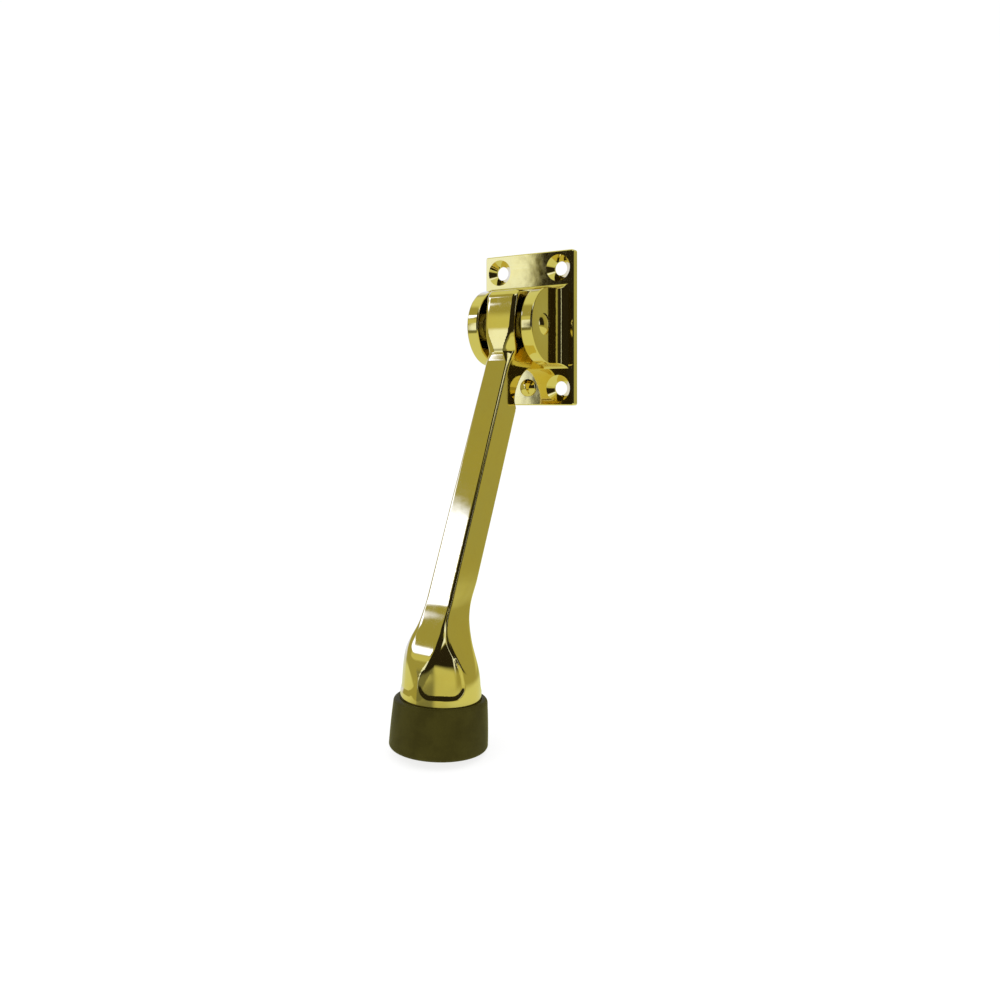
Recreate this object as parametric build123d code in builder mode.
from build123d import *
import math
import os

os.makedirs("parts", exist_ok=True)

# Kick-down door holder: a bracket screwed to the door, a swinging arm held by a
# leaf spring, and a rubber tip on the arm's foot. The arm is drawn swung down.
# Frame: X to the right, +Y into the door, +Z up, millimetres.
# Origin: centre of the mounting plate's back face (the face that lies on the door).
# Side profiles are drawn on a plane whose first axis is the distance out from
# the door and whose second axis is the height.
SIDE = Plane(origin=(0, 0, 0), x_dir=(0, -1, 0), z_dir=(-1, 0, 0))

# ------------------------------------------------------ shared dimensions
plate_t = 3.0

pivot_out = 15.0          # pivot axis, distance out from the door
pivot_z = 0.5             # pivot axis, height
pin_r = 2.5

clevis_half = 13.6        # outer face of each ear
ear_inner = 8.9           # inner face of each ear
head_half = 6.4           # half width of the arm's head
head_sweep = 13.4         # largest radius of the head behind the pivot
bush_r = 3.5
bush_bore = 2.55          # bore radius of the bush and the spacers

pocket_depth = 1.5        # spring pocket in the back of the plate
spring_t = 0.8
spring_back = pocket_depth - spring_t   # back of the spring where it lies flat
rivet_z = -22.0
rivet_r = 1.6

foot_out = 60.0           # centre of the rubber tip's bottom face
foot_z = -136.7
foot_tilt = math.radians(4.87)          # foot axis, from vertical
foot_r = 13.0
foot_base_h = 5.0         # metal foot starts this far above the rubber's bottom
screw_r = 2.5
screw_hole_depth = 12.0   # depth of the screw hole in the foot
screw_clear_r = screw_r + 0.1           # screw hole in the rubber and the washer
recess_depth = 3.2        # recess in the rubber's bottom for washer and screw head
washer_t = 0.8
washer_h = recess_depth - washer_t      # washer's lower face above the rubber's bottom

clear_half = 20.0         # half width of blanks and cuts that run right across
clear_out = 40.0          # outward reach of blanks and cuts that pass the ears

pivot = Vector(0, -pivot_out, pivot_z)
PIVOT_SIDE = Plane(origin=pivot, x_dir=(0, -1, 0), z_dir=(-1, 0, 0))

foot_up = Vector(0, math.sin(foot_tilt), math.cos(foot_tilt))
toward_door = Vector(0, math.cos(foot_tilt), -math.sin(foot_tilt))
foot_origin = Vector(0, -foot_out, foot_z)


def foot_plane(height, shift=0.0):
    """Plane square to the foot axis: height above the rubber's bottom, shift to the door."""
    return Plane(origin=foot_origin + foot_up * height + toward_door * shift,
                 x_dir=(1, 0, 0), z_dir=foot_up)


def dome_mid(base, radius, rise):
    """Middle point of the arc of a spherical cap: base position and radius, rise."""
    sphere_r = (radius * radius + rise * rise) / (2 * rise)
    half_angle = math.asin(radius / sphere_r) / 2
    return (base + rise - sphere_r + sphere_r * math.cos(half_angle),
            sphere_r * math.sin(half_angle))


# ------------------------------------------------------------------ clevis
clevis_foot_half = 17.0   # half width of the flared root on the plate
flare_out = 10.5          # the root's flare ends here
root_half_h = 30.0        # half height of the blank
ear_center_out = 10.0
ear_center_z = 0.3
ear_r = 14.1
ear_round = 0.6
ear_flat_out = 8.5        # straight top and bottom of the ears start here
floor_out = 7.0           # floor between the ears

ear_top = ear_center_z + ear_r
ear_bottom = ear_center_z - ear_r
root_top = ear_top + 1.6
root_bottom = ear_bottom - 1.2

# Two crossed extrusions give the root its flared, pointed corners.
with BuildPart() as clevis:
    with BuildSketch(Plane.XY.offset(-root_half_h)):
        with BuildLine():
            Spline((clevis_foot_half, -plate_t), (clevis_half, -flare_out),
                   tangents=((-1, -0.25), (0, -1)))
            Polyline((clevis_half, -flare_out), (clevis_half, -clear_out),
                     (-clevis_half, -clear_out), (-clevis_half, -flare_out))
            Spline((-clevis_half, -flare_out), (-clevis_foot_half, -plate_t),
                   tangents=((0, 1), (-1, 0.25)))
            Polyline((-clevis_foot_half, -plate_t), (-clevis_foot_half, 0),
                     (clevis_foot_half, 0), (clevis_foot_half, -plate_t))
        make_face()
    extrude(amount=2 * root_half_h)
    with BuildSketch(SIDE):
        with BuildLine():
            Spline((plate_t, root_top), (ear_flat_out, ear_top),
                   tangents=((0.35, -1), (1, 0)))
            Line((ear_flat_out, ear_top), (ear_center_out, ear_top))
            ThreePointArc((ear_center_out, ear_top),
                          (ear_center_out + ear_r, ear_center_z),
                          (ear_center_out, ear_bottom))
            Line((ear_center_out, ear_bottom), (ear_flat_out, ear_bottom))
            Spline((ear_flat_out, ear_bottom), (plate_t, root_bottom),
                   tangents=((-1, 0), (-0.35, -1)))
            Polyline((plate_t, root_bottom), (0, root_bottom), (0, root_top),
                     (plate_t, root_top))
        make_face()
    extrude(amount=clear_half, both=True, mode=Mode.INTERSECT)
    # space between the ears, down to the clevis floor
    with BuildSketch(SIDE):
        with Locations((floor_out + clear_out / 2, 0)):
            Rectangle(clear_out, 2 * root_half_h)
    extrude(amount=ear_inner, both=True, mode=Mode.SUBTRACT)
    ear_arcs = clevis.edges().filter_by(GeomType.CIRCLE).filter_by(
        lambda edge: abs(edge.radius - ear_r) < 0.01)
    fillet(ear_arcs, radius=ear_round)

# ------------------------------------------------------------ base bracket
plate_w = 38.1
plate_h = 57.15
plate_corner_r = 0.8
plate_bevel = 0.4
hole_dx = 25.4            # screw hole pitches
hole_dz = 44.45
hole_r = 2.6
csk_r = 4.9
csk_angle = 90

slot_half = 6.9           # slot that the arm's head turns in
slot_h = 32.0
slot_z = -5.0             # middle of the slot
sweep_gap = 0.5           # clearance round the turning head
pocket_half = 5.6
pocket_z0 = -26.4
pocket_z1 = 13.8
pocket_corner_r = 1.5

with BuildPart() as base_bracket:
    with BuildSketch(Plane.XZ):
        RectangleRounded(plate_w, plate_h, plate_corner_r)
    extrude(amount=plate_t)
    # bevel round the face that looks away from the door
    chamfer(base_bracket.faces().sort_by(Axis.Y)[0].outer_wire().edges(), length=plate_bevel)
    add(clevis.part)
    # slot for the arm's head and heel, open at the bottom of the clevis
    with BuildSketch(SIDE):
        with Locations((plate_t + clear_out / 2, slot_z)):
            Rectangle(clear_out, slot_h)
    extrude(amount=slot_half, both=True, mode=Mode.SUBTRACT)
    with BuildSketch(PIVOT_SIDE):
        Circle(head_sweep + sweep_gap)
    extrude(amount=slot_half, both=True, mode=Mode.SUBTRACT)
    # pocket for the leaf spring in the back face
    with BuildSketch(Plane.XZ):
        with Locations((0, (pocket_z0 + pocket_z1) / 2)):
            RectangleRounded(2 * pocket_half, pocket_z1 - pocket_z0, pocket_corner_r)
    extrude(amount=pocket_depth, mode=Mode.SUBTRACT)
    # pivot pin hole
    with BuildSketch(PIVOT_SIDE):
        Circle(pin_r)
    extrude(amount=clear_half, both=True, mode=Mode.SUBTRACT)
    # rivet hole
    with BuildSketch(Plane.XZ):
        with Locations((0, rivet_z)):
            Circle(rivet_r)
    extrude(amount=plate_t + 2, both=True, mode=Mode.SUBTRACT)
    # four countersunk screw holes
    with Locations(Plane(origin=(0, -plate_t, 0), x_dir=(1, 0, 0), z_dir=(0, -1, 0))):
        with GridLocations(hole_dx, hole_dz, 2, 2):
            CounterSinkHole(radius=hole_r, counter_sink_radius=csk_r,
                            counter_sink_angle=csk_angle, depth=plate_t)

# --------------------------------------------------------------- pivot pin
pin_head_r = 3.9
pin_head_t = 1.3
pin_end = clevis_half + pin_head_t
dome_x, dome_z = dome_mid(clevis_half, pin_head_r, pin_head_t)

# Shank with a domed, riveted head at each end.
with BuildPart() as pivot_pin:
    with BuildSketch(Plane(origin=pivot, x_dir=(1, 0, 0), z_dir=(0, -1, 0))):
        with BuildLine():
            Polyline((-clevis_half, pin_head_r), (-clevis_half, pin_r),
                     (clevis_half, pin_r), (clevis_half, pin_head_r))
            ThreePointArc((clevis_half, pin_head_r), (dome_x, dome_z), (pin_end, 0))
            Line((pin_end, 0), (-pin_end, 0))
            ThreePointArc((-pin_end, 0), (-dome_x, dome_z), (-clevis_half, pin_head_r))
        make_face()
    revolve(axis=Axis(pivot, (1, 0, 0)))

# ------------------------------------------------------------- leaf spring
spring_half = 5.0
spring_bottom = -25.6
spring_flat_top = -18.0   # the flat, riveted end reaches up to here
spring_top = 13.0
bow_back = 0.5            # back of the spring at the pivot's height

# Bowed strip in the pocket, drawn at the deflection it has under a cam corner.
with BuildPart() as leaf_spring:
    with BuildSketch(SIDE):
        with BuildLine():
            Polyline((pocket_depth, spring_flat_top), (pocket_depth, spring_bottom),
                     (spring_back, spring_bottom), (spring_back, spring_flat_top))
            Spline((spring_back, spring_flat_top), (bow_back, pivot_z),
                   (spring_back, spring_top), tangents=((0, 1), (0.08, 1)))
            Line((spring_back, spring_top), (pocket_depth, spring_top))
            Spline((pocket_depth, spring_top), (bow_back + spring_t, pivot_z),
                   (pocket_depth, spring_flat_top), tangents=((-0.08, -1), (0, -1)))
        make_face()
    extrude(amount=spring_half, both=True)
    with BuildSketch(Plane.XZ):
        with Locations((0, rivet_z)):
            Circle(rivet_r)
    extrude(amount=plate_t, both=True, mode=Mode.SUBTRACT)

# ------------------------------------------------------------ spring rivet
rivet_head_r = 3.25
rivet_head_t = 2.3
rivet_rim_t = 0.5         # straight rim under the head's dome
rivet_tail_r = 2.7
rivet_tail_out = 0.15     # end of the tail, distance out from the door
tail_bevel_out = 0.2      # bevel of the tail, along the axis and across it
tail_bevel_r = 0.5

rivet_rim_out = plate_t + rivet_rim_t
rivet_end = plate_t + rivet_head_t

with BuildPart() as spring_rivet:
    with BuildSketch(Plane(origin=(0, 0, rivet_z), x_dir=(0, -1, 0), z_dir=(1, 0, 0))):
        with BuildLine():
            Polyline((rivet_tail_out, 0), (rivet_tail_out, rivet_tail_r - tail_bevel_r),
                     (rivet_tail_out + tail_bevel_out, rivet_tail_r),
                     (spring_back, rivet_tail_r), (spring_back, rivet_r),
                     (plate_t, rivet_r), (plate_t, rivet_head_r),
                     (rivet_rim_out, rivet_head_r))
            ThreePointArc((rivet_rim_out, rivet_head_r),
                          dome_mid(rivet_rim_out, rivet_head_r, rivet_head_t - rivet_rim_t),
                          (rivet_end, 0))
            Line((rivet_end, 0), (rivet_tail_out, 0))
        make_face()
    revolve(axis=Axis((0, 0, rivet_z), (0, -1, 0)))

# ----------------------------------------------------------------- spacers
spacer_r = 5.0
spacer_bevel = 0.4
end_gap = 0.05            # running gap between each spacer and the head


def make_spacer(side):
    """Spacer from an ear's inner face towards the head; side is 1 right, -1 left."""
    with BuildPart() as spacer:
        with BuildSketch(Plane(origin=(side * ear_inner, -pivot_out, pivot_z),
                               x_dir=(0, -1, 0), z_dir=(-side, 0, 0))):
            Circle(spacer_r)
            Circle(bush_bore, mode=Mode.SUBTRACT)
        extrude(amount=ear_inner - head_half - end_gap)
        # outer rims only, not the bore
        chamfer(spacer.edges().filter_by(GeomType.CIRCLE).filter_by(
            lambda edge: edge.radius > 4), length=spacer_bevel)
    return spacer.part


# ------------------------------------------------------------- bell cutter
bell_base_h = 18.0        # the bell-shaped flare starts this far above the rubber's bottom
# Sections square to the foot axis: (height, shift towards the door, radius)
bell = [
    (50.0, 4.0, 11.6), (46.0, 2.4, 9.9), (42.9, 0.9, 9.0),
    (38.8, -0.3, 8.95), (34.8, -1.66, 9.95), (30.8, -2.1, 11.2),
    (26.8, -1.45, 12.2), (22.8, -0.6, 12.85), (bell_base_h, 0.0, foot_r),
]
cutter_r = 40.0
cutter_drop = 4.0         # the cutter starts this far below the rubber's bottom

# Outside of the bell: everything round the foot that the round flare does not keep.
with BuildPart() as bell_cutter:
    with BuildSketch(foot_plane(-cutter_drop)):
        Circle(cutter_r)
    extrude(amount=cutter_drop + bell[0][0])
    with BuildPart(mode=Mode.PRIVATE) as bell_core:
        for height, shift, radius in bell:
            with BuildSketch(foot_plane(height, shift)):
                Circle(radius)
        loft()
        with BuildSketch(foot_plane(foot_base_h)):
            Circle(foot_r)
        extrude(amount=bell_base_h - foot_base_h)
    add(bell_core.part, mode=Mode.SUBTRACT)

# --------------------------------------------------------------------- arm
arm_half = 5.0            # half width of the arm's shaft
head_round = 1.2          # rounded edges of the head
shaft_round = 0.9         # rounded long edges of the shaft
shaft_slope = 0.45        # outward run of the shaft per unit of drop
cam_flat = 12.4           # cam flats, distance from the pivot
half_flat = math.sqrt(head_sweep ** 2 - cam_flat ** 2)


def head_point(angle):
    """Side-view point on the head's sweep circle, angle in degrees from outward."""
    turn = math.radians(angle)
    return (pivot_out + head_sweep * math.cos(turn), pivot_z + head_sweep * math.sin(turn))


def shaft_front(z):
    """Side-view point on the shaft's front, away from the door."""
    return (34.4 + shaft_slope * (-33.4 - z), z)


def shaft_back(z):
    """Side-view point on the shaft's back, towards the door."""
    return (20.9 + shaft_slope * (-33.6 - z), z)


# Corners of the cam's back and top flats
back_top = (pivot_out - cam_flat, pivot_z + half_flat)
back_low = (pivot_out - cam_flat, pivot_z - half_flat)
top_back = (pivot_out - half_flat, pivot_z + cam_flat)
top_front = (pivot_out + half_flat, pivot_z + cam_flat)

# Side outline, (distance out, height), in drawing order
head_front = [head_point(59.0), (23.9, 3.0), (24.5, -3.0), (24.0, -9.4)]
foot_front = [
    shaft_front(-90.0), (62.1, -94.0), (64.4, -98.0), (67.3, -102.0),
    (69.4, -106.0), (70.3, -110.0), (71.1, -114.7), (71.9, -119.0),
]
foot_back = [
    (44.0, -117.0), (46.0, -113.0), (47.9, -109.0), (49.6, -105.0),
    (50.2, -101.0), (49.8, -97.0), (48.5, -93.0), shaft_back(-86.0),
]
heel = [shaft_back(-30.5), (20.9, -26.2), (18.6, -21.2), (9.2, -14.9)]

# Right half of the front outline, (half width, height), from the top down
head_taper = [(head_half, -3.0), (5.9, -8.5), (5.05, -12.5), (arm_half - 0.15, -17.0)]
shaft_edge = [head_taper[-1], (arm_half, -60.0), (5.05, -90.0), (5.15, -94.0)]
foot_edge = [
    shaft_edge[-1], (5.75, -98.0), (7.7, -102.0), (10.1, -106.0),
    (11.9, -110.0), (13.4, -114.0),
]
front_top = 16.0          # the front outline overshoots the side outline
front_bottom = -140.0
front_depth = 90.0

with BuildPart() as arm:
    # cam head, straight shaft, foot blank and heel, seen from the side
    with BuildSketch(SIDE):
        with BuildLine():
            Line(top_back, top_front)
            Line(top_front, head_front[0])
            Spline(*head_front, tangents=((0.45, -1), (-0.35, -1)))
            Line(head_front[-1], shaft_front(-12.6))
            Line(shaft_front(-12.6), foot_front[0])
            Spline(*foot_front, tangents=((0.45, -1), (0.2, -1)))
            Polyline(foot_front[-1], (75.5, -127.0), (75.5, -134.5), (44.0, -134.5),
                     foot_back[0])
            Spline(*foot_back, tangents=((0.45, 1), (-0.45, 1)))
            Line(foot_back[-1], heel[0])
            Spline(*heel, tangents=((0.6, 1), (-1, 0.45)))
            Line(heel[-1], head_point(234.0))
            ThreePointArc(head_point(234.0), head_point(217.0), back_low)
            Line(back_low, back_top)
            ThreePointArc(back_top, head_point(135.0), top_back)
        make_face()
    extrude(amount=clear_half, both=True)
    # outline seen from the front: wide head, slim shaft, flared foot
    with BuildSketch(Plane.XZ):
        with BuildLine():
            Polyline((0, front_top), (head_half, front_top), head_taper[0])
            Spline(*head_taper, tangents=((0, -1), (0, -1)))
            Spline(*shaft_edge, tangents=((0, -1), (0.06, -1)))
            Spline(*foot_edge, tangents=((0.06, -1), (0.35, -1)))
            Polyline(foot_edge[-1], (foot_edge[-1][0], front_bottom), (0, front_bottom),
                     (0, front_top))
        make_face()
        mirror(about=Plane.YZ)
    extrude(amount=front_depth, both=True, mode=Mode.INTERSECT)
    # rounded front edges of the head, then long edges of the shaft
    fillet(arm.edges().filter_by(
        lambda edge: abs(edge.center().X) > 5.5 and edge.center().Y < -20
        and edge.center().Z > -9), radius=head_round)
    fillet(arm.edges().filter_by(
        lambda edge: edge.length > 30 and abs(edge.center().X) > 4), radius=shaft_round)
    add(bell_cutter.part, mode=Mode.SUBTRACT)
    # bush bore and screw hole
    with BuildSketch(PIVOT_SIDE):
        Circle(bush_r)
    extrude(amount=clear_half, both=True, mode=Mode.SUBTRACT)
    with BuildSketch(foot_plane(foot_base_h)):
        Circle(screw_r)
    extrude(amount=screw_hole_depth, mode=Mode.SUBTRACT)

# -------------------------------------------------------------- pivot bush
with BuildPart() as pivot_bush:
    with BuildSketch(PIVOT_SIDE):
        Circle(bush_r)
        Circle(bush_bore, mode=Mode.SUBTRACT)
    extrude(amount=head_half, both=True)

# -------------------------------------------------------------- rubber tip
tip_h = 15.2
tip_r_top = 15.05
tip_r_bottom = 15.75
tip_round = 1.0           # rounding of the bottom edge
tip_rim = 1.3             # rounding of the rim round the metal
recess_r = 5.6
arc_inset = 0.293         # inset of a quarter arc's middle, as a share of its radius

# Cup round the foot: (radius, height) along the foot axis.
with BuildPart() as rubber_tip:
    with BuildSketch(Plane(origin=foot_origin, x_dir=(1, 0, 0), z_dir=-toward_door)):
        with BuildLine():
            Polyline((recess_r, 0), (tip_r_bottom - tip_round, 0))
            ThreePointArc((tip_r_bottom - tip_round, 0),
                          (tip_r_bottom - tip_round * arc_inset, tip_round * arc_inset),
                          (tip_r_bottom, tip_round))
            Line((tip_r_bottom, tip_round), (tip_r_top, tip_h - tip_rim))
            ThreePointArc((tip_r_top, tip_h - tip_rim),
                          (tip_r_top - tip_rim * arc_inset, tip_h - tip_rim * arc_inset),
                          (tip_r_top - tip_rim, tip_h))
            Polyline((tip_r_top - tip_rim, tip_h), (foot_r, tip_h), (foot_r, foot_base_h),
                     (screw_clear_r, foot_base_h), (screw_clear_r, recess_depth),
                     (recess_r, recess_depth), (recess_r, 0))
        make_face()
    revolve(axis=Axis(foot_origin, foot_up))

# -------------------------------------------------------------- tip washer
washer_r = 5.2

with BuildPart() as tip_washer:
    with BuildSketch(foot_plane(washer_h)):
        Circle(washer_r)
        Circle(screw_clear_r, mode=Mode.SUBTRACT)
    extrude(amount=washer_t)

# --------------------------------------------------------------- tip screw
screw_head_r = 4.3
screw_head_t = 1.9
screw_head_bevel = 0.6
screw_end_gap = 0.5       # screw stops this far short of the hole's end
driver_slot_w = 1.2
driver_slot_depth = 1.0
screw_head_h = washer_h - screw_head_t   # head's lower face above the rubber's bottom

with BuildPart() as tip_screw:
    with BuildSketch(foot_plane(screw_head_h)):
        Circle(screw_head_r)
    extrude(amount=screw_head_t)
    # bevel the head's lower edge
    chamfer(tip_screw.edges().filter_by(GeomType.CIRCLE).group_by(Axis.Z)[0],
            length=screw_head_bevel)
    with BuildSketch(foot_plane(washer_h)):
        Circle(screw_r)
    extrude(amount=foot_base_h - washer_h + screw_hole_depth - screw_end_gap)
    # screwdriver slot
    with BuildSketch(foot_plane(screw_head_h)):
        Rectangle(2 * screw_head_r + 1, driver_slot_w)
    extrude(amount=driver_slot_depth, mode=Mode.SUBTRACT)

# ------------------------------------------------------------------ export
parts = {
    "base_bracket": base_bracket.part,
    "pivot_pin": pivot_pin.part,
    "leaf_spring": leaf_spring.part,
    "spring_rivet": spring_rivet.part,
    "spacer_right": make_spacer(1),
    "spacer_left": make_spacer(-1),
    "arm": arm.part,
    "pivot_bush": pivot_bush.part,
    "rubber_tip": rubber_tip.part,
    "tip_washer": tip_washer.part,
    "tip_screw": tip_screw.part,
}
for name, part in parts.items():
    part.label = name
    export_step(part, f"parts/{name}.step")
